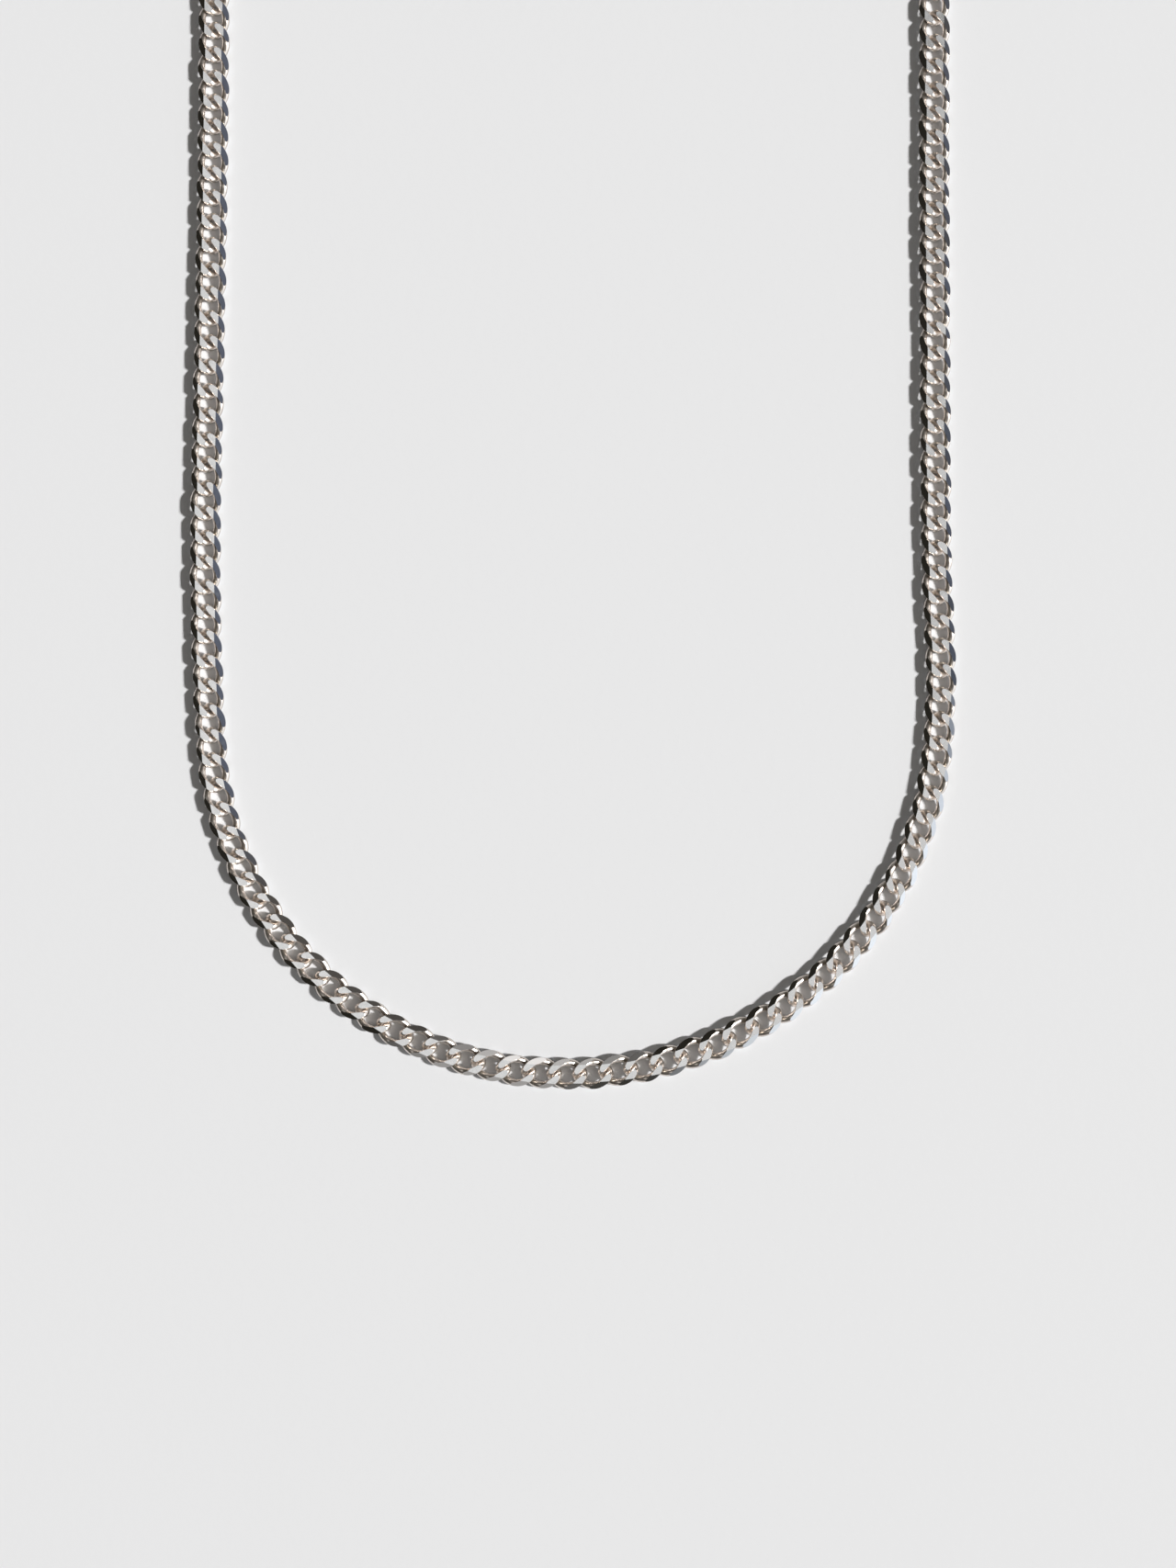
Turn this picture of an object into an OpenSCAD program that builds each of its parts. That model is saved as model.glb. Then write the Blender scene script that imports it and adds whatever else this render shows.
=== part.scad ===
// A flat curb chain with faceted links, closed to a necklace with a plain clasp.
// It lies on a surface in one loop: z = 0 is the surface, X and Y run in it, and Z is up.
// The origin is the middle of the loop's box, on the surface. Sizes are millimetres.

/* [Link] */
// half the length of a link, along the middle line of its wire
link_half_length = 2.23; // [2.22:0.01:2.24]
// half the width of a link, along the middle line of its wire
link_half_width = 1.63; // [1.61:0.01:1.65]
// radius of the round wire
wire_radius = 0.45; // [0.445:0.005:0.455]
// twist of a link's ends out of the plane of the chain, degrees
end_twist = 48; // [47:1:49]
// how late the twist sets in from the middle of a link to its ends
twist_power = 1.2; // [1.15:0.05:1.25]
// sideways sway of single links from the line of the chain
link_sway = 0.05; // [0:0.01:0.06]

/* [Cut] */
// height of the chain between its upper and lower flats
chain_height = 1.5; // [1.48:0.01:1.52]
// half width of the flat zone on the top and on the underside
flat_half_width = 1.16; // [1.14:0.01:1.18]
// half width at which the slanting side cuts would meet
cut_half_width = 2.2; // [2.18:0.01:2.22]
// how far the cut lies towards the outside of the loop
cut_shift = 0.03; // [0.02:0.01:0.05]

/* [Loop] */
// heading of the first link, degrees: down the left side
first_heading = -90.2; // [-90.4:0.1:-90]
// distance of the first link to the left of the middle of the view
first_left = 48.26; // [48.2:0.02:48.32]
// distance of the first link above the middle of the view
first_up = 98.76; // [98.7:0.02:98.82]
// spacing of the links up the right side, past the shown part
right_pitch = 3.26; // [3.24:0.01:3.28]

/* [Clasp] */
// width of the clasp's body
clasp_width = 4.2; // [4:0.1:4.4]
// height of the clasp's body
clasp_height = 2; // [1.9:0.1:2.2]
// radius of the corners of the clasp's body
clasp_corner = 0.9; // [0.7:0.1:1.1]
// radius across the arched top of the clasp's body
clasp_arch = 3.4; // [3.2:0.1:4]

/* [Hidden] */
$fn = 64;
// straight pieces of wire that a link is bent from, and the angle of one around the link
wire_pieces = 12;
piece_angle = 360 / wire_pieces;
// how much thinner every second piece is, which leaves a fine step at each mitre
thinner_by = 0.02;
// half the side of the bar that holds a link to the next one of its stretch
joint_half = 0.3;
// links in each stretch of the chain, and the number of stretches
stretch_links = 11;
stretch_count = 14;
// place of the clasp's first ring, counted in links from the first one, and the steps it takes up
clasp_place = 129;
clasp_steps = 3;
clasp_end = clasp_place + clasp_steps;

// runs of the shown part, from the first link: steps, spacing of the links, turn of the whole run
steps = 0;
pitch = 1;
turn = 2;
SHOWN_RUNS = [
    [10, 3.08, -1],
    [10, 3.14, 0],
    [10, 3.19, 5],
    [10, 3.21, 41.5],
    [11, 3.31, 44.5],
    [11, 3.32, 42.5],
    [10, 3.24, 41.5],
    [5, 3.16, 9.5],
    [5, 3.16, -3],
    [10, 3.14, 0],
    [10, 3.06, -0.5],
];
// steps of the closing part: up the right side, around the turn at the top, down the left side
right_leg = 5;
top_arc = 46;
left_leg = 5;

// a direction in the surface, and the sum of a list
function unit(heading) = [cos(heading), sin(heading)];
function total(list, i = 0) = i < len(list) ? list[i] + total(list, i + 1) : list[0] * 0;

// a run as single steps, each with the spacing and its own turn
step_pitch = 0;
step_turn = 1;
function single_steps(runs) = [
    for (run = runs)
        for (k = [1 : run[steps]])
            [run[pitch], run[turn] / run[steps]]
];

// a link's place is its x, its y and its heading; a walk lists the places along the steps
way = 2;
function next_place(place, step) =
    let (move = step[step_pitch] * unit(place[way] + step[step_turn] / 2))
    [place.x + move.x, place.y + move.y, place[way] + step[step_turn]];
function walk(place, list) = [
    for (i = 0, here = place; i <= len(list); here = next_place(here, list[min(i, len(list) - 1)]), i = i + 1)
        here
];

// the shown part of the loop
first_place = [-first_left, first_up, first_heading];
shown_places = walk(first_place, single_steps(SHOWN_RUNS));
shown_end = shown_places[len(shown_places) - 1];

// the closing part: the spacings around the turn and down the left side come from the gap to close
arc_turn = first_heading + 360 - shown_end[way];
arc_sum = total([
    for (k = [0 : top_arc - 1])
        unit(shown_end[way] + (k + 0.5) * arc_turn / top_arc)
]);
left_sum = left_leg * unit(first_heading);
gap = [first_place.x - shown_end.x, first_place.y - shown_end.y]
    - right_leg * right_pitch * unit(shown_end[way]);
gap_scale = arc_sum.x * left_sum.y - arc_sum.y * left_sum.x;
arc_pitch = (gap.x * left_sum.y - gap.y * left_sum.x) / gap_scale;
left_pitch = (arc_sum.x * gap.y - arc_sum.y * gap.x) / gap_scale;
CLOSING_RUNS = [
    [right_leg, right_pitch, 0],
    [top_arc, arc_pitch, arc_turn],
    [left_leg, left_pitch, 0],
];

// every link's place around the loop, and the middle of the loop
all_steps = single_steps(concat(SHOWN_RUNS, CLOSING_RUNS));
places = walk(first_place, all_steps);
link_count = len(all_steps);
all_x = [for (place = places) place.x];
all_y = [for (place = places) place.y];
middle = [(min(all_x) + max(all_x)) / 2, (min(all_y) + max(all_y)) / 2];

// a point on the middle line of a link's wire, at an angle around the link
function wire_point(angle) =
    let (
        along = cos(angle),
        twist = -end_twist * sign(along) * pow(abs(along), twist_power)
    )
    [
        link_half_length * along,
        link_half_width * sin(angle) * cos(twist),
        link_half_width * sin(angle) * sin(twist)
    ];

// directions of a straight piece of the wire, and of the mitre at its start
function piece_way(k) =
    let (span = wire_point((k + 1) % wire_pieces * piece_angle) - wire_point(k * piece_angle))
    span / norm(span);
function mitre_way(k) = piece_way((k + wire_pieces - 1) % wire_pieces) + piece_way(k);

// moves its children to a point and turns their Z axis to a direction
module aim(from, direction) {
    translate(from)
        rotate([0, acos(direction.z / norm(direction)), atan2(direction.y, direction.x)])
            children();
}

// the two halves of the space around a mitre: the one ahead of it and the one behind it
module half_space(ahead) {
    side = 4 * wire_radius;
    translate([-side / 2, -side / 2, ahead ? 0 : -side])
        cube(side);
}

// a straight piece of the wire, mitred at both ends; every second piece is a little thinner
module wire_piece(k) {
    from = wire_point(k * piece_angle);
    to = wire_point((k + 1) % wire_pieces * piece_angle);
    radius = k % 2 == 0 ? wire_radius : wire_radius - thinner_by;
    difference() {
        aim(from - wire_radius * piece_way(k), to - from)
            cylinder(r = radius, h = norm(to - from) + 2 * wire_radius);
        aim(from, mitre_way(k))
            half_space(false);
        aim(to, mitre_way((k + 1) % wire_pieces))
            half_space(true);
    }
}

// the six-sided form that the flats and the slanting sides are cut to
module cut_form() {
    half_height = chain_height / 2;
    translate([0, -cut_shift, 0])
        rotate([90, 0, 90])
            linear_extrude(height = 2 * link_half_length + 4 * wire_radius, center = true)
                polygon([
                    [-flat_half_width, -half_height],
                    [flat_half_width, -half_height],
                    [cut_half_width, 0],
                    [flat_half_width, half_height],
                    [-flat_half_width, half_height],
                    [-cut_half_width, 0]
                ]);
}

// one twisted link with its facets, its middle at the origin and the chain along X
module link() {
    intersection() {
        for (k = [0 : wire_pieces - 1])
            wire_piece(k);
        cut_form();
    }
}

// sideways place of a link in the line of the chain
function sway(i) = link_sway * sin(137.5 * i);

// moves its children to a link's place on the loop
module at_place(i) {
    place = places[i % link_count];
    translate([place.x - middle.x, place.y - middle.y, chain_height / 2])
        rotate([0, 0, place[way]])
            translate([0, sway(i % link_count), 0])
                children();
}

// a point on a link's middle line: side 1 is its leading end, 0 its middle and -1 its rear end
function link_point(i, side) =
    let (
        place = places[i % link_count],
        along = side * link_half_length * unit(place[way]),
        aside = sway(i % link_count) * unit(place[way] + 90)
    )
    [
        place.x - middle.x + along.x + aside.x,
        place.y - middle.y + along.y + aside.y,
        chain_height / 2
    ];

// the short bar inside two crossing links that holds them together
module joint(i) {
    from = link_point(i + 1, -1);
    to = link_point(i, 1);
    span = to - from;
    translate(from)
        rotate([0, 0, atan2(span.y, span.x)])
            translate([0, -joint_half, -joint_half])
                cube([norm(span), 2 * joint_half, 2 * joint_half]);
}

// a stretch of the chain, which is one body: the first stretch starts behind the clasp
module stretch(number) {
    first = clasp_end + 1 + (number - 1) * stretch_links;
    last = first + stretch_links - 1;
    color("silver") {
        for (i = [first : last])
            at_place(i)
                link();
        for (i = [first : last - 1])
            joint(i);
    }
}

// the clasp's outline seen from above
module clasp_outline(length) {
    square([length - 2 * clasp_corner, clasp_width], center = true);
    square([length, clasp_width - 2 * clasp_corner], center = true);
    for (x = [-1, 1])
        for (y = [-1, 1])
            translate([x * (length / 2 - clasp_corner), y * (clasp_width / 2 - clasp_corner)])
                circle(r = clasp_corner);
}

// the clasp's body: flat below and arched above
module clasp_body(length) {
    intersection() {
        linear_extrude(height = clasp_height)
            clasp_outline(length);
        translate([0, 0, clasp_height - clasp_arch])
            rotate([0, 90, 0])
                cylinder(r = clasp_arch, h = 2 * length, center = true);
    }
}

// the clasp: the plain body between two rings that are like the links
module clasp() {
    from = link_point(clasp_place, 0);
    to = link_point(clasp_end, 0);
    span = to - from;
    color("silver") {
        at_place(clasp_place)
            link();
        at_place(clasp_end)
            link();
        translate([(from.x + to.x) / 2, (from.y + to.y) / 2, 0])
            rotate([0, 0, atan2(span.y, span.x)])
                clasp_body(norm(span) - 2 * wire_radius);
    }
}

// the nodes: the clasp, and the stretches chain_1 to chain_14
function stretch_name(number) = str("chain_", number);
clasp();
for (number = [1 : stretch_count])
    stretch(number);
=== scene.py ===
# A silver curb chain with faceted links, lying in one loop on a pale floor.
# Sizes are worked out in millimetres, as the real chain is measured, and meshes are made in metres.
import math
import random

import bmesh
import bpy
from mathutils import Matrix, Vector


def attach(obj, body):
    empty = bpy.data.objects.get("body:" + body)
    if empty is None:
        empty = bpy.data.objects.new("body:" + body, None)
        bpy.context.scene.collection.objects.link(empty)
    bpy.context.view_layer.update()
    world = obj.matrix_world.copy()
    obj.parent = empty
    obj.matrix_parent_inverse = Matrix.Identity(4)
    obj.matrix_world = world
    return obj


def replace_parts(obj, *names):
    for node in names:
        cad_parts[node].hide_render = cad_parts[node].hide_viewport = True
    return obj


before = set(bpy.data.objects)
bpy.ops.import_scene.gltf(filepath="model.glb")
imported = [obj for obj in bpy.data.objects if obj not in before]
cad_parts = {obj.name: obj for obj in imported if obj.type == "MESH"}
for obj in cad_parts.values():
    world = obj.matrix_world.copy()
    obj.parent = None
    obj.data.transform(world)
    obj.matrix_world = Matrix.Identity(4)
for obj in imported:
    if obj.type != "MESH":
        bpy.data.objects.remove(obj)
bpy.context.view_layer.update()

MM = 0.001

# the link: half the length and half the width of its wire's middle line, and the wire's radius
HALF_LENGTH = 2.2
HALF_WIDTH = 1.52
WIRE_RADIUS = 0.475
# twist of a link's ends out of the plane of the chain, in degrees, and how late it sets in
END_TWIST = 48.0
TWIST_POWER = 1.4
# the wire's mesh: rings along it, points around it, and the steps it is measured in for even spacing
WIRE_RINGS = 84
RING_SIDES = 22
FINE_STEPS = 1500
# how much of a point's lengthwise place counts in the way out from a link's middle
LENGTHWISE_SHARE = 0.6

# sideways sway of single links, and the turn between one sway and the next, in degrees
LINK_SWAY = 0.05
SWAY_TURN = 137.5
# roll of the steepest link about the line of the chain, in degrees
LINK_ROLL = 1.5
# the two waves of a value that wanders from link to link: share, step per link and step per seed
WANDER_WAVES = ((0.6, 2.1, 1.0), (0.4, 0.73, 2.3))
ROLL_SEED = 1
CUT_SEED = 4
# how far apart the links' fine marks are taken from, so that no two links look alike
MARK_RANGE = 50

# the cut that gives every link its flats and slanting sides, and its places across the chain
CHAIN_HEIGHT = 1.5
FLAT_HALF_WIDTH = 1.16
CUT_HALF_WIDTH = 2.2
CUT_SHIFTS = (-0.11, -0.02, 0.08, 0.17)
# points closer to a cut than this lie on it
CUT_NEARNESS = 1e-5

# the spacing of the links that crevices are worked out for, the gap at which one ends, and which of
# the wire's rings they are measured to: every second one
USUAL_PITCH = 3.2
CREVICE_GAP = 0.45
LINE_STRIDE = 2
# height over the wire's middle line, in wire radii, below which its outer side is darkened with painted
# shade, and how fast that painted shade grows towards the outside
FLANK_TOP = 0.7
FLANK_RISE = 2

# the loop: x, y and heading of the first link, and runs of steps, spacing and turn
FIRST_PLACE = (-48.26, 98.76, -90.2)
SHOWN_RUNS = (
    (10, 3.08, -1),
    (10, 3.14, 0),
    (10, 3.19, 5),
    (10, 3.21, 41.5),
    (11, 3.31, 44.5),
    (11, 3.32, 42.5),
    (10, 3.24, 41.5),
    (5, 3.16, 9.5),
    (5, 3.16, -3),
    (10, 3.14, 0),
    (10, 3.06, -0.5),
)
# steps of the part that closes it: up the right side, around the top and down the left side
RIGHT_LEG = 5
RIGHT_PITCH = 3.26
TOP_ARC = 46
LEFT_LEG = 5
# links of each stretch, and the number of stretches
STRETCH_LINKS = 11
STRETCH_COUNT = 14

# the clasp: place of its first ring, the steps it takes up, and the sizes of its body
CLASP_PLACE = 129
CLASP_STEPS = 3
CLASP_WIDTH = 4.2
CLASP_HEIGHT = 1.99
CLASP_CORNER = 0.9
CLASP_ARCH = 3.4
# the rounding of the body's rims, its steps and form, and the angle from which an edge is a rim
CLASP_RIM = 0.16
RIM_STEPS = 4
RIM_PROFILE = 0.5
RIM_ANGLE = 50
# steps around a corner of the body and across its middle
CORNER_STEPS = 8
BODY_STEPS = 12

# the photograph's view: width and height at the surface, and the camera's height above the chain
VIEW_WIDTH = 151.5
VIEW_HEIGHT = VIEW_WIDTH * 1707 / 1280
CAMERA_HEIGHT = 430.0
SENSOR_LENGTH = 36.0

# half the side of the floor in metres, and how far it lies below the chain
FLOOR_HALF = 6.0
FLOOR_DROP = 0.01

# the sun: strength, width in degrees, colour and the way its light goes
KEY_STRENGTH = 5.05
KEY_ANGLE = 6.0
KEY_COLOR = (1.0, 0.985, 0.96)
KEY_WAY = (-17.0, 2.2, -12.6)

# the studio's darkness, and its soft fields: azimuth, elevation, radius of the bright middle,
# radius where it ends, and colour; all but the field overhead are flattened by the stretch along Z
SKY_BASE = (0.020, 0.018, 0.014)
FIELD_STRETCH = (1.0, 1.0, 2.0)
OVERHEAD_FROM = 60
SKY_FIELDS = (
    (180, 81, 12, 26, (0.81, 0.785, 0.75)),
    (-11, 50, 4, 20, (0.22, 0.205, 0.18)),
    (-38, 14, 0, 38, (0.92, 0.98, 1.04)),
    (-88, 14, 4, 22, (0.020, 0.019, 0.018)),
    (-104, 14, 2, 17, (0.34, 0.33, 0.32)),
    (-4, 21, 4, 30, (0.020, 0.040, 0.085)),
    (30, 22, 10, 45, (0.068, 0.062, 0.058)),
    (86, 24, 2, 14, (0.46, 0.445, 0.43)),
    (85, 24, 0, 5, (0.46, 0.445, 0.43)),
)

# materials on a link, by index
WIRE, FLAT, FACET = 0, 1, 2


# The route of the chain

def unit(heading):
    return Vector((math.cos(math.radians(heading)), math.sin(math.radians(heading))))


def single_steps(runs):
    """The runs as single steps, each with its spacing and its own turn."""
    return [(pitch, turn / steps) for steps, pitch, turn in runs for _ in range(steps)]


def walk(place, steps):
    """The x, y and heading at the start and after every step."""
    places = [place]
    for pitch, turn in steps:
        x, y, heading = places[-1]
        move = pitch * unit(heading + turn / 2)
        places.append((x + move.x, y + move.y, heading + turn))
    return places


def loop_places():
    """Every link's x, y and heading around the closed loop, and the middle of the loop."""
    shown = single_steps(SHOWN_RUNS)
    end_x, end_y, end_heading = walk(FIRST_PLACE, shown)[-1]
    arc_turn = FIRST_PLACE[2] + 360 - end_heading
    arc_ways = (unit(end_heading + (k + 0.5) * arc_turn / TOP_ARC) for k in range(TOP_ARC))
    arc = sum(arc_ways, Vector((0, 0)))
    left = LEFT_LEG * unit(FIRST_PLACE[2])
    gap = Vector((FIRST_PLACE[0] - end_x, FIRST_PLACE[1] - end_y))
    gap -= RIGHT_LEG * RIGHT_PITCH * unit(end_heading)
    scale = arc.x * left.y - arc.y * left.x
    arc_pitch = (gap.x * left.y - gap.y * left.x) / scale
    left_pitch = (arc.x * gap.y - arc.y * gap.x) / scale
    closing = (
        (RIGHT_LEG, RIGHT_PITCH, 0),
        (TOP_ARC, arc_pitch, arc_turn),
        (LEFT_LEG, left_pitch, 0),
    )
    places = walk(FIRST_PLACE, shown + single_steps(closing))
    middle = [(min(p[k] for p in places) + max(p[k] for p in places)) / 2 for k in (0, 1)]
    return places[:-1], Vector(middle)


PLACES, MIDDLE = loop_places()


def sway(i):
    """A link's sideways place in the line of the chain."""
    return LINK_SWAY * math.sin(math.radians(SWAY_TURN * i))


def wander(i, seed):
    """A value from -1 to 1 that changes from link to link without a repeat."""
    return sum(share * math.sin(link * i + start * seed) for share, link, start in WANDER_WAVES)


def placing(i):
    """The matrix that carries a link from its own millimetres to its place in the loop, in metres."""
    i %= len(PLACES)
    x, y, heading = PLACES[i]
    roll = math.radians(LINK_ROLL * wander(i, ROLL_SEED))
    rise = CHAIN_HEIGHT / 2 + FLAT_HALF_WIDTH * abs(math.sin(roll))
    at = Matrix.Translation(Vector((x - MIDDLE.x, y - MIDDLE.y, rise)))
    turned = Matrix.Rotation(math.radians(heading), 4, "Z") @ Matrix.Translation((0, sway(i), 0))
    return Matrix.Scale(MM, 4) @ at @ turned @ Matrix.Rotation(roll, 4, "X")


# The link

def wire_point(angle):
    """A point on the middle line of a link's wire, at an angle around the link."""
    along = math.cos(angle)
    twist = -math.radians(END_TWIST) * math.copysign(abs(along) ** TWIST_POWER, along)
    across = HALF_WIDTH * math.sin(angle)
    return Vector((HALF_LENGTH * along, across * math.cos(twist), across * math.sin(twist)))


def even_points(count):
    """Points at even spacing along the middle line of the wire."""
    fine = [wire_point(2 * math.pi * k / FINE_STEPS) for k in range(FINE_STEPS + 1)]
    reach = [0.0]
    for a, b in zip(fine, fine[1:]):
        reach.append(reach[-1] + (b - a).length)
    points, j = [], 0
    for k in range(count):
        target = reach[-1] * k / count
        while reach[j + 1] < target:
            j += 1
        points.append(fine[j].lerp(fine[j + 1], (target - reach[j]) / (reach[j + 1] - reach[j])))
    return points


WIRE_LINE = even_points(WIRE_RINGS)


def bent_wire(bm):
    """The round wire of a link as a closed tube."""
    rings = []
    for k, point in enumerate(WIRE_LINE):
        along = (WIRE_LINE[(k + 1) % WIRE_RINGS] - WIRE_LINE[k - 1]).normalized()
        out = Vector((LENGTHWISE_SHARE * point.x, point.y, point.z))
        out = (out - out.dot(along) * along).normalized()
        side = along.cross(out)
        ring = []
        for m in range(RING_SIDES):
            turn = 2 * math.pi * m / RING_SIDES
            reach = math.cos(turn) * out + math.sin(turn) * side
            ring.append(bm.verts.new(point + WIRE_RADIUS * reach))
        rings.append(ring)
    for k in range(WIRE_RINGS):
        here, there = rings[k], rings[(k + 1) % WIRE_RINGS]
        for m in range(RING_SIDES):
            n = (m + 1) % RING_SIDES
            face = bm.faces.new((here[m], here[n], there[n], there[m]))
            face.smooth = True
            face.material_index = WIRE


def cut_planes(shift):
    """Place, outward direction and material of the flats and the slanting side cuts."""
    half = CHAIN_HEIGHT / 2
    planes = []
    for up in (1, -1):
        planes.append((Vector((0, -shift, up * half)), Vector((0, 0, up)), FLAT))
        for side in (1, -1):
            place = Vector((0, side * FLAT_HALF_WIDTH - shift, up * half))
            way = Vector((0, side * half, up * (CUT_HALF_WIDTH - FLAT_HALF_WIDTH))).normalized()
            planes.append((place, way, FACET))
    return planes


def cut_link(bm, shift):
    """Takes off what stands out of the flats and the slanting sides, and closes the cut faces."""
    for place, way, material in cut_planes(shift):
        geometry = bm.verts[:] + bm.edges[:] + bm.faces[:]
        bmesh.ops.bisect_plane(
            bm, geom=geometry, plane_co=place, plane_no=way, clear_outer=True, dist=CUT_NEARNESS
        )
        open_edges = [edge for edge in bm.edges if edge.is_boundary]
        if not open_edges:
            continue
        for face in bmesh.ops.holes_fill(bm, edges=open_edges, sides=0)["faces"]:
            face.smooth = False
            face.material_index = material
            for edge in face.edges:
                edge.smooth = False
    bmesh.ops.recalc_face_normals(bm, faces=bm.faces[:])


def limited(value):
    return max(0.0, min(1.0, value))


def crevice(point):
    """1 where the wire nearly meets a neighbouring link's, down to 0 in the open."""
    nearest = min(
        (point - line - Vector((side * USUAL_PITCH, 0, 0))).length
        for side in (-1, 1)
        for line in WIRE_LINE[::LINE_STRIDE]
    )
    gap = nearest - WIRE_RADIUS
    return limited(1.0 - gap / CREVICE_GAP)


def low_flank_shade_mask(point):
    """Painted shade: 1 low on the outer side of a link's wire, down to 0 towards the wire's top and
    inner side.
    """
    line = min(WIRE_LINE, key=lambda near: (point - near).length)
    out = (point - line) / WIRE_RADIUS
    outward = FLANK_RISE * out.y * math.copysign(1, line.y)
    low = (FLANK_TOP - out.z) / FLANK_TOP
    return limited(outward) * limited(low)


def link_mesh(shift):
    """One link in its own millimetres, with what its materials need: places, crevices and painted flank
    shade.
    """
    bm = bmesh.new()
    bent_wire(bm)
    cut_link(bm, shift)
    on_link = bm.verts.layers.float_vector.new("on_link")
    hidden = bm.verts.layers.float.new("crevice")
    painted_flank_shade = bm.verts.layers.float.new("painted_flank_shade")
    for vert in bm.verts:
        vert[on_link] = vert.co
        vert[hidden] = crevice(vert.co)
        # painted shade on the low outer flanks of the wire
        vert[painted_flank_shade] = low_flank_shade_mask(vert.co)
    mesh = bpy.data.meshes.new("link")
    bm.to_mesh(mesh)
    bm.free()
    return mesh


# the same link with the cuts a little to one side or the other
LINKS = [link_mesh(shift) for shift in CUT_SHIFTS]


def add_link(bm, i):
    """Adds a link of the loop to a mesh, with its own tone and its own place for the fine marks."""
    first = len(bm.verts)
    bm.from_mesh(LINKS[round((wander(i, CUT_SEED) + 1) / 2 * (len(LINKS) - 1))])
    draw = random.Random(i)
    tone = bm.verts.layers.float.get("tone") or bm.verts.layers.float.new("tone")
    on_link = bm.verts.layers.float_vector["on_link"]
    bm.verts.ensure_lookup_table()
    verts = bm.verts[first:]
    value = draw.random()
    offset = Vector([draw.uniform(0, MARK_RANGE) for _ in range(3)])
    for vert in verts:
        vert[tone] = value
        vert[on_link] = vert[on_link] + offset
    bmesh.ops.transform(bm, matrix=placing(i), verts=verts)


def make_piece(name, bm, materials):
    """Makes a visible piece of the part out of a mesh."""
    mesh = bpy.data.meshes.new(name)
    bm.to_mesh(mesh)
    bm.free()
    for material in materials:
        mesh.materials.append(material)
    piece = bpy.data.objects.new(name, mesh)
    bpy.context.scene.collection.objects.link(piece)
    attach(piece, "root")
    return piece


# The materials

def new_material(name, color, roughness):
    material = bpy.data.materials.new(name)
    material.use_nodes = True
    shader = material.node_tree.nodes["Principled BSDF"]
    shader.inputs["Base Color"].default_value = (*color, 1)
    shader.inputs["Roughness"].default_value = roughness
    return material, material.node_tree, shader


def add(tree, kind, inputs=None, **settings):
    """Adds a node; an input is either another node's output or a value."""
    node = tree.nodes.new(kind)
    for key, value in settings.items():
        setattr(node, key, value)
    for key, value in (inputs or {}).items():
        if isinstance(value, bpy.types.NodeSocket):
            tree.links.new(value, node.inputs[key])
        else:
            node.inputs[key].default_value = value
    return node


def attribute(tree, name):
    return add(tree, "ShaderNodeAttribute", attribute_name=name)


def spread(tree, value, low, high, start=0.0, end=1.0):
    """Carries a value from start..end to low..high."""
    node = add(
        tree,
        "ShaderNodeMapRange",
        {"Value": value, "From Min": start, "From Max": end, "To Min": low, "To Max": high},
    )
    return node.outputs["Result"]


# places of the two colours among a mix node's inputs, and of the mixed colour among its outputs
MIX_A, MIX_B = 6, 7
MIX_RESULT = 2


def mixed(tree, factor, a, b):
    """The colour a where the factor is 0 and b where it is 1."""
    node = add(tree, "ShaderNodeMix", data_type="RGBA")
    tree.links.new(factor, node.inputs["Factor"])
    for key, value in ((MIX_A, a), (MIX_B, b)):
        if isinstance(value, bpy.types.NodeSocket):
            tree.links.new(value, node.inputs[key])
        else:
            node.inputs[key].default_value = (*value, 1)
    return node.outputs[MIX_RESULT]


def noise(tree, place, scale, detail):
    node = add(tree, "ShaderNodeTexNoise", {"Vector": place, "Scale": scale, "Detail": detail})
    return node.outputs["Fac"]


def product(tree, a, b):
    return add(tree, "ShaderNodeMath", {0: a, 1: b}, operation="MULTIPLY").outputs[0]


# scale and detail of the noises on the silver: its clouds, its grain and its tool marks
CLOUDS = (1.6, 4.0)
GRAIN = (22.0, 3.0)
MARKS = (1.0, 2.0)
# where the clouds start and are full, where tarnish starts in a crevice, and where wear starts and ends
CLOUD_RANGE = (0.35, 0.7)
TARNISH_FROM = 0.25
WEAR_RANGE = (0.1, 0.6)


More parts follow.
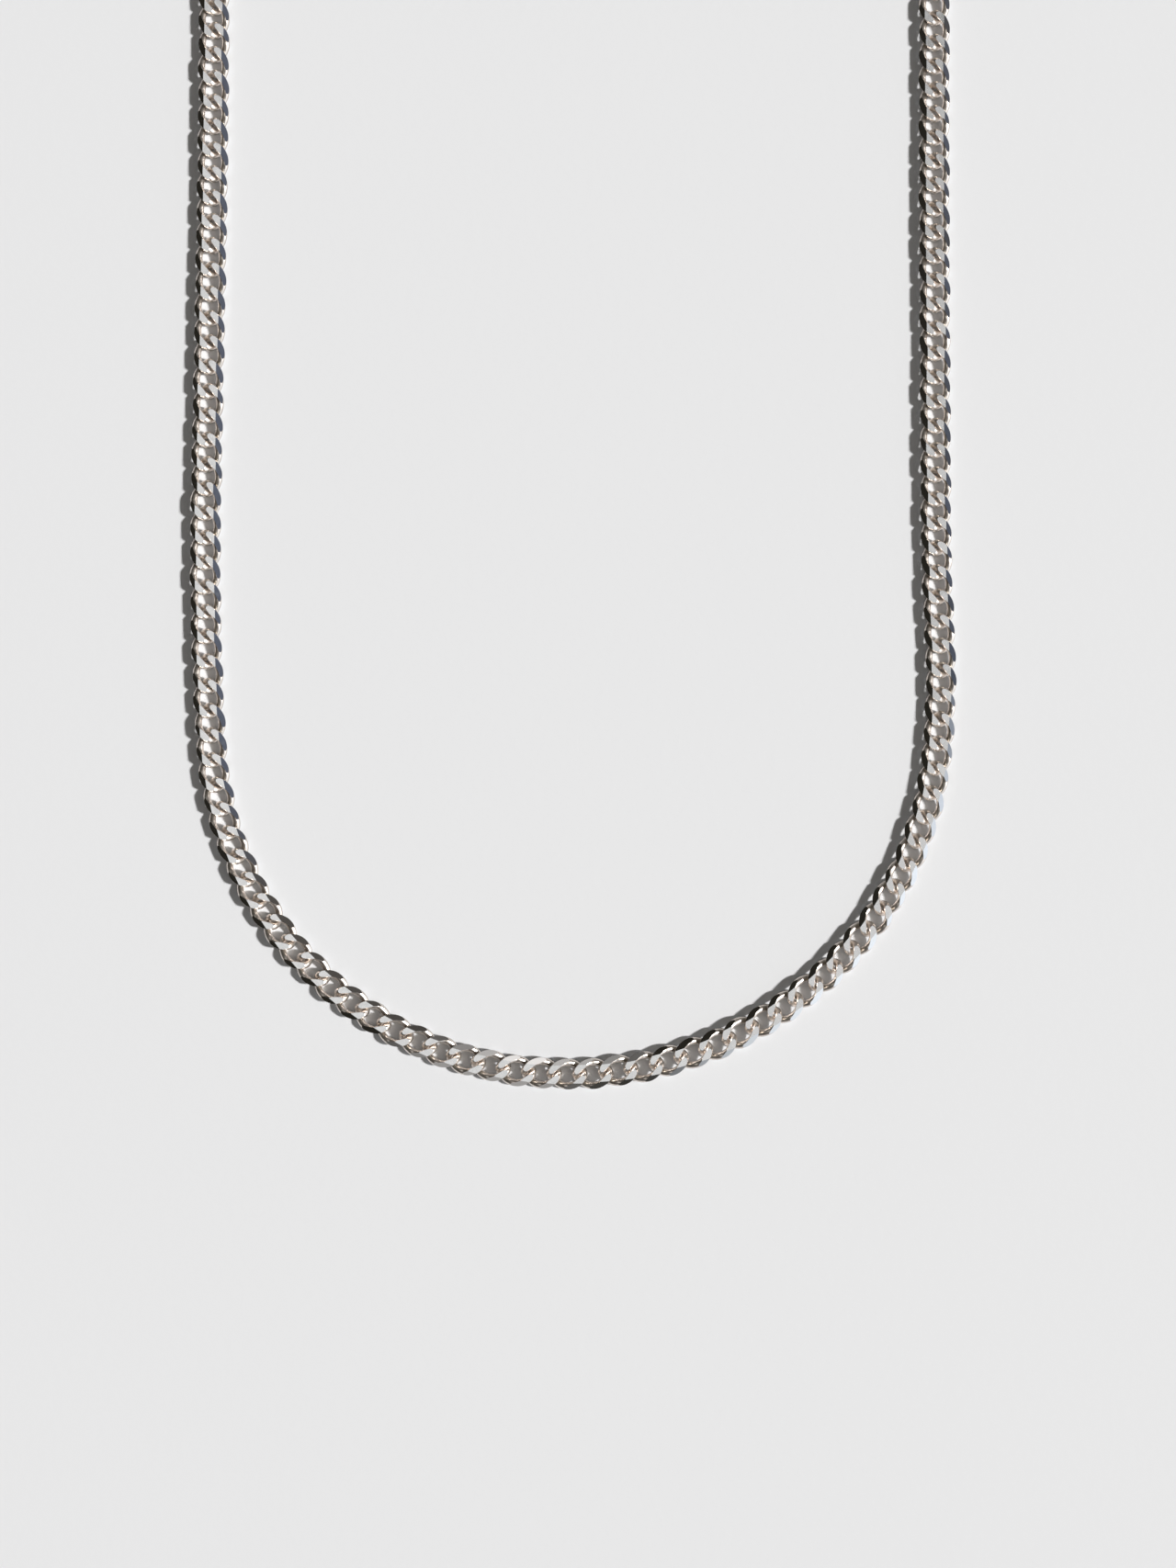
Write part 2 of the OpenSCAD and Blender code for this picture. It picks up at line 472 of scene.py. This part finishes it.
def silver(name, colors, roughness, lines, heights):
    """Silver with its own tone on each link, tarnish in the crevices, fine tool marks and grain, and
    painted shade on low outer flanks where a flank colour is given.

    The colours are the clean, the dull and the tarnished one, and, where given, one for painted shade
    that darkens the low outer flanks; the roughness goes from smooth to rough; the lines are the tool
    marks' stretch, and the heights are those of the tool marks and of the grain.
    """
    clean, dull, tarnished, *shade_flank_colors = colors
    smooth, rough = roughness
    line_height, grain_height = heights
    material, tree, shader = new_material(name, clean, smooth)
    shader.inputs["Metallic"].default_value = 1.0
    place = attribute(tree, "on_link").outputs["Vector"]
    tone = attribute(tree, "tone").outputs["Fac"]
    hidden = attribute(tree, "crevice").outputs["Fac"]
    stretched = add(tree, "ShaderNodeMapping", {"Vector": place, "Scale": lines}).outputs["Vector"]
    marks = noise(tree, stretched, *MARKS)
    cloudy = spread(tree, noise(tree, place, *CLOUDS), 0.0, 1.0, *CLOUD_RANGE)
    toned = mixed(tree, spread(tree, tone, 0.0, 1.0), clean, dull)
    aged = mixed(tree, cloudy, toned, clean)
    dark = product(tree, spread(tree, hidden, 0.0, 1.0, TARNISH_FROM, 1.0), cloudy)
    color = mixed(tree, dark, aged, tarnished)
    # painted shade: the wire's low outer flanks are darkened towards the flank colour
    for shade_flank_color in shade_flank_colors:
        color = mixed(tree, attribute(tree, "painted_flank_shade").outputs["Fac"], color, shade_flank_color)
    tree.links.new(color, shader.inputs["Base Color"])
    worn = spread(tree, product(tree, marks, cloudy), smooth, rough, *WEAR_RANGE)
    tree.links.new(worn, shader.inputs["Roughness"])
    line_bump = add(tree, "ShaderNodeBump", {"Height": marks, "Distance": line_height * MM})
    grain_bump = add(
        tree,
        "ShaderNodeBump",
        {
            "Height": noise(tree, place, *GRAIN),
            "Distance": grain_height * MM,
            "Normal": line_bump.outputs["Normal"],
        },
    )
    tree.links.new(grain_bump.outputs["Normal"], shader.inputs["Normal"])
    return material


# the floor: colour, roughness and gloss, and scale, detail and height of its noise
FLOOR_COLOR = (0.700, 0.711, 0.733)
FLOOR_ROUGHNESS = 0.6
FLOOR_GLOSS = 0.2
FLOOR_NOISE = (900.0, 3.0)
FLOOR_NOISE_HEIGHT = 0.01


def floor_material():
    """A pale sheet with a very fine unevenness."""
    material, tree, shader = new_material("pale_floor", FLOOR_COLOR, FLOOR_ROUGHNESS)
    shader.inputs["Specular IOR Level"].default_value = FLOOR_GLOSS
    place = add(tree, "ShaderNodeTexCoord").outputs["Object"]
    height = noise(tree, place, *FLOOR_NOISE)
    bump = add(tree, "ShaderNodeBump", {"Height": height, "Distance": FLOOR_NOISE_HEIGHT * MM})
    tree.links.new(bump.outputs["Normal"], shader.inputs["Normal"])
    return material


# the wire's fourth colour is painted shade for its low outer flanks
WIRE_COLORS = ((0.98, 0.905, 0.845), (0.95, 0.865, 0.79), (0.47, 0.37, 0.28), (0.20, 0.18, 0.15))
FLAT_COLORS = ((0.91, 0.94, 0.98), (0.86, 0.88, 0.915), (0.60, 0.55, 0.48))
FACET_COLORS = ((0.90, 0.90, 0.91), (0.86, 0.86, 0.86), (0.60, 0.55, 0.48))
SILVERS = [
    silver("silver_wire", WIRE_COLORS, (0.28, 0.42), (5, 5, 5), (0.004, 0.002)),
    silver("silver_flat", FLAT_COLORS, (0.24, 0.38), (3, 22, 3), (0.002, 0.002)),
    silver("silver_facet", FACET_COLORS, (0.045, 0.08), (1, 10, 10), (0.0005, 0.0005)),
]


# The chain

def make_stretch(number):
    """Makes one stretch of links: the first one starts behind the clasp."""
    bm = bmesh.new()
    first = CLASP_PLACE + CLASP_STEPS + 1 + (number - 1) * STRETCH_LINKS
    for i in range(first, first + STRETCH_LINKS):
        add_link(bm, i)
    piece = make_piece(f"links_{number}", bm, SILVERS)
    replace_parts(piece, f"chain_{number}")


def clasp_rows(length):
    """The clasp's body in rows across it: y, half the length there, and the arched top's height."""
    straight = CLASP_WIDTH / 2 - CLASP_CORNER
    turns = [math.pi / 2 * k / CORNER_STEPS for k in range(CORNER_STEPS + 1)]
    corner = [straight + CLASP_CORNER * math.sin(turn) for turn in turns]
    inner = [straight * (2 * k / BODY_STEPS - 1) for k in range(1, BODY_STEPS)]
    rows = []
    for y in [-c for c in reversed(corner)] + inner + corner:
        reach = max(0.0, abs(y) - straight)
        half = length / 2 - CLASP_CORNER + math.sqrt(max(0.0, CLASP_CORNER ** 2 - reach ** 2))
        rows.append((y, half, CLASP_HEIGHT - CLASP_ARCH + math.sqrt(CLASP_ARCH ** 2 - y ** 2)))
    return rows


def clasp_body(length):
    """The arched body with its rims rounded, in millimetres."""
    bm = bmesh.new()
    rows = [
        [bm.verts.new(c) for c in ((-half, y, 0), (half, y, 0), (half, y, top), (-half, y, top))]
        for y, half, top in clasp_rows(length)
    ]
    bm.faces.new(rows[0])
    bm.faces.new(list(reversed(rows[-1])))
    for low, high in zip(rows, rows[1:]):
        for k in range(len(low)):
            n = (k + 1) % len(low)
            bm.faces.new((low[n], low[k], high[k], high[n]))
    bmesh.ops.recalc_face_normals(bm, faces=bm.faces[:])
    rims = [edge for edge in bm.edges if edge.calc_face_angle(0) > math.radians(RIM_ANGLE)]
    bmesh.ops.bevel(
        bm,
        geom=rims,
        offset=CLASP_RIM,
        segments=RIM_STEPS,
        profile=RIM_PROFILE,
        affect="EDGES",
        clamp_overlap=True,
    )
    on_link = bm.verts.layers.float_vector.new("on_link")
    for vert in bm.verts:
        vert[on_link] = vert.co
    for face in bm.faces:
        face.smooth = True
    return bm


def make_clasp():
    """Makes the clasp: its body between two rings that are like the links."""
    start = placing(CLASP_PLACE).translation
    end = placing(CLASP_PLACE + CLASP_STEPS).translation
    span = end - start
    body = clasp_body(span.length / MM - 2 * WIRE_RADIUS)
    turn = Matrix.Rotation(math.atan2(span.y, span.x), 4, "Z")
    place = Matrix.Translation(((start.x + end.x) / 2, (start.y + end.y) / 2, 0))
    bmesh.ops.transform(body, matrix=place @ turn @ Matrix.Scale(MM, 4), verts=body.verts[:])
    mesh = bpy.data.meshes.new("body")
    body.to_mesh(mesh)
    body.free()
    bm = bmesh.new()
    bm.from_mesh(mesh)
    add_link(bm, CLASP_PLACE)
    add_link(bm, CLASP_PLACE + CLASP_STEPS)
    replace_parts(make_piece("clasp_body", bm, SILVERS), "clasp")


for stretch_number in range(1, STRETCH_COUNT + 1):
    make_stretch(stretch_number)
make_clasp()


# The floor, the lights and the camera

def make_floor():
    """A wide sheet under the chain, which belongs to the scene and not to the part."""
    bm = bmesh.new()
    bmesh.ops.create_grid(bm, x_segments=1, y_segments=1, size=FLOOR_HALF)
    mesh = bpy.data.meshes.new("floor")
    bm.to_mesh(mesh)
    bm.free()
    mesh.materials.append(floor_material())
    floor = bpy.data.objects.new("floor", mesh)
    floor.location.z = -FLOOR_DROP * MM
    bpy.context.scene.collection.objects.link(floor)


def direction(azimuth, elevation):
    """The direction at an angle around Z and a height over the surface, both in degrees."""
    turn, rise = math.radians(azimuth), math.radians(elevation)
    return Vector((math.cos(rise) * math.cos(turn), math.cos(rise) * math.sin(turn), math.sin(rise)))


def make_sky():
    """A dark studio with soft bright fields: one overhead, and others low around the table."""
    world = bpy.data.worlds.new("studio")
    world.use_nodes = True
    bpy.context.scene.world = world
    tree = world.node_tree
    sight = add(tree, "ShaderNodeTexCoord").outputs["Generated"]
    stretched = add(tree, "ShaderNodeVectorMath", {0: sight, 1: FIELD_STRETCH}, operation="MULTIPLY")
    low = add(tree, "ShaderNodeVectorMath", {0: stretched.outputs[0]}, operation="NORMALIZE")
    base = add(tree, "ShaderNodeRGB")
    base.outputs[0].default_value = (*SKY_BASE, 1)
    light = base.outputs[0]
    for azimuth, elevation, inner, outer, color in SKY_FIELDS:
        way, seen = direction(azimuth, elevation), sight
        if elevation < OVERHEAD_FROM:
            way = Vector([c * k for c, k in zip(way, FIELD_STRETCH)]).normalized()
            seen = low.outputs[0]
        dot = add(tree, "ShaderNodeVectorMath", {0: seen, 1: way}, operation="DOT_PRODUCT")
        edge = add(
            tree,
            "ShaderNodeMapRange",
            {
                "Value": dot.outputs["Value"],
                "From Min": math.cos(math.radians(outer)),
                "From Max": math.cos(math.radians(inner)),
            },
            interpolation_type="SMOOTHSTEP",
        )
        glow = add(tree, "ShaderNodeVectorMath", {0: color}, operation="SCALE")
        tree.links.new(edge.outputs["Result"], glow.inputs["Scale"])
        both = add(tree, "ShaderNodeVectorMath", {0: light, 1: glow.outputs[0]}, operation="ADD")
        light = both.outputs[0]
    tree.links.new(light, tree.nodes["Background"].inputs["Color"])


def make_key():
    """The low sun that casts the shadow beside the chain."""
    key = bpy.data.objects.new("key", bpy.data.lights.new("key", "SUN"))
    key.data.energy = KEY_STRENGTH
    key.data.angle = math.radians(KEY_ANGLE)
    key.data.color = KEY_COLOR
    key.rotation_mode = "QUATERNION"
    key.rotation_quaternion = Vector(KEY_WAY).to_track_quat("-Z", "Y")
    bpy.context.scene.collection.objects.link(key)


def make_camera():
    """The photograph's camera, straight above the middle of its view."""
    camera = bpy.data.objects.new("camera", bpy.data.cameras.new("camera"))
    camera.data.sensor_width = SENSOR_LENGTH
    camera.data.lens = SENSOR_LENGTH * CAMERA_HEIGHT / VIEW_HEIGHT
    camera.location = (-MIDDLE.x * MM, -MIDDLE.y * MM, (CAMERA_HEIGHT + CHAIN_HEIGHT) * MM)
    bpy.context.scene.collection.objects.link(camera)
    bpy.context.scene.camera = camera


bpy.context.scene.view_settings.view_transform = "Standard"
make_floor()
make_sky()
make_key()
make_camera()
